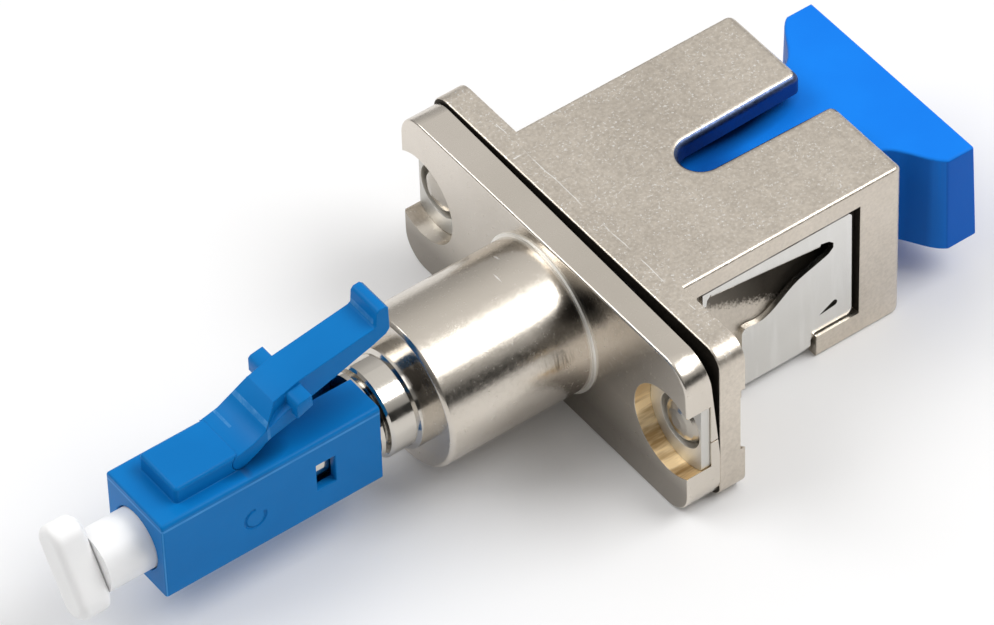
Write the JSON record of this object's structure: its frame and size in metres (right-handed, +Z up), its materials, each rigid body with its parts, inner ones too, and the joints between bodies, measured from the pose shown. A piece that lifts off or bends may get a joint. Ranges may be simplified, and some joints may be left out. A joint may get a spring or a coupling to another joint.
{
  "type": "fibre adapter",
  "caption": "Optical power meter adapter with a flanged square socket for an SC plug, a turned barrel and an LC plug with latch, both ends capped.",
  "frame": {"origin": "on the optical axis, in the plane where the two flanges meet", "axes": "+X along the optical axis out of the SC socket, +Z up towards the keyway, +Y along the flange"},
  "size_m": [0.0483, 0.0222, 0.0123],
  "materials": {
    "cast_shell": "satin nickel plate on a cast body",
    "spring_sheet": "bright spring sheet",
    "cage_plastic": "matte",
    "turned_metal": "bright turned",
    "ceramic": "polished ceramic",
    "plated_brass": "polished nickel plate on brass",
    "rivet_metal": "bright",
    "plug_blue": "satin moulded",
    "buffer_plastic": "matte",
    "cap_white": "soft matte",
    "cap_blue": "soft matte"
  },
  "bodies": {
    "adapter": {"sc_shell": "cast_shell", "mounting_clip": "spring_sheet", "latch_cage": "cage_plastic", "sleeve_holder": "turned_metal", "split_sleeve": "ceramic", "stub_ferrule": "ceramic", "stub_holder": "turned_metal", "front_body": "plated_brass", "rivet_near": "rivet_metal", "rivet_far": "rivet_metal", "pocket_ring_near": "rivet_metal", "pocket_ring_far": "rivet_metal", "neck_tube": "plated_brass", "neck_nut": "turned_metal", "lc_inner_body": "turned_metal", "lc_housing": "plug_blue", "ferrule_spring": "spring_sheet", "fibre_core": "buffer_plastic"},
    "latch_lever": {"lc_latch_lever": "plug_blue"},
    "plug_ferrule": {"lc_ferrule": "ceramic", "ferrule_carrier": "turned_metal"},
    "plug_cap": {"lc_dust_cap": "cap_white"},
    "socket_cap": {"sc_dust_cap": "cap_blue"}
  },
  "joints": [
    {"name": "latch_press", "type": "hinge", "parent": "adapter", "child": "latch_lever", "pos_m": [-0.02, 0, 0.00307], "axis": [0, 1, 0], "range_deg": [0, 8], "stiffness_Nm_per_rad": 0.05},
    {"name": "ferrule_press", "type": "slide", "parent": "adapter", "child": "plug_ferrule", "axis": [1, 0, 0], "range_m": [0, 0.0009], "stiffness_N_per_m": 500, "springref_m": -0.003, "deforming": ["ferrule_spring"]},
    {"name": "plug_cap_pull", "type": "slide", "parent": "adapter", "child": "plug_cap", "axis": [-1, 0, 0], "range_m": [0, 0.012]},
    {"name": "socket_cap_pull", "type": "slide", "parent": "adapter", "child": "socket_cap", "axis": [1, 0, 0], "range_m": [0, 0.02]}
  ]
}
